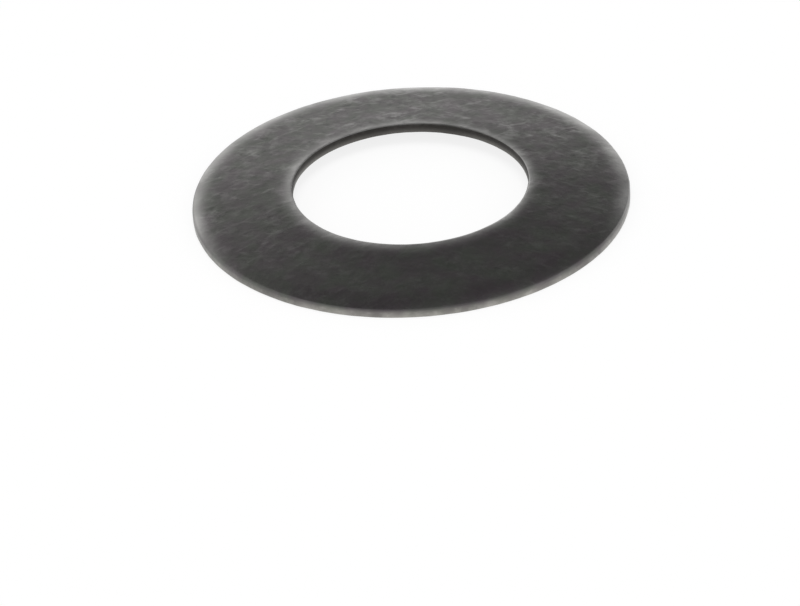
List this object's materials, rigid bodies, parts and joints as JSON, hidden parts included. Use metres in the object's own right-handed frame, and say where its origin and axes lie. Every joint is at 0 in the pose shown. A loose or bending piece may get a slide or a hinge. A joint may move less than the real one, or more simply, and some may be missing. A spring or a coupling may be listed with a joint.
{
  "type": "disc spring",
  "caption": "Conical disc spring of dark phosphated spring steel: one ring with a round bore, its bore edge raised and the edges of its upper face softly rolled off.",
  "frame": {"origin": "centre of the seat circle, on the surface that the spring rests on", "axes": "+Z along the bore axis, towards the raised bore edge; X and Y are free, because the ring is the same all round"},
  "size_m": [0.038, 0.038, 0.002],
  "materials": {
    "phosphated_steel": "satin"
  },
  "bodies": {
    "root": {"disc_spring": "phosphated_steel"}
  },
  "joints": []
}
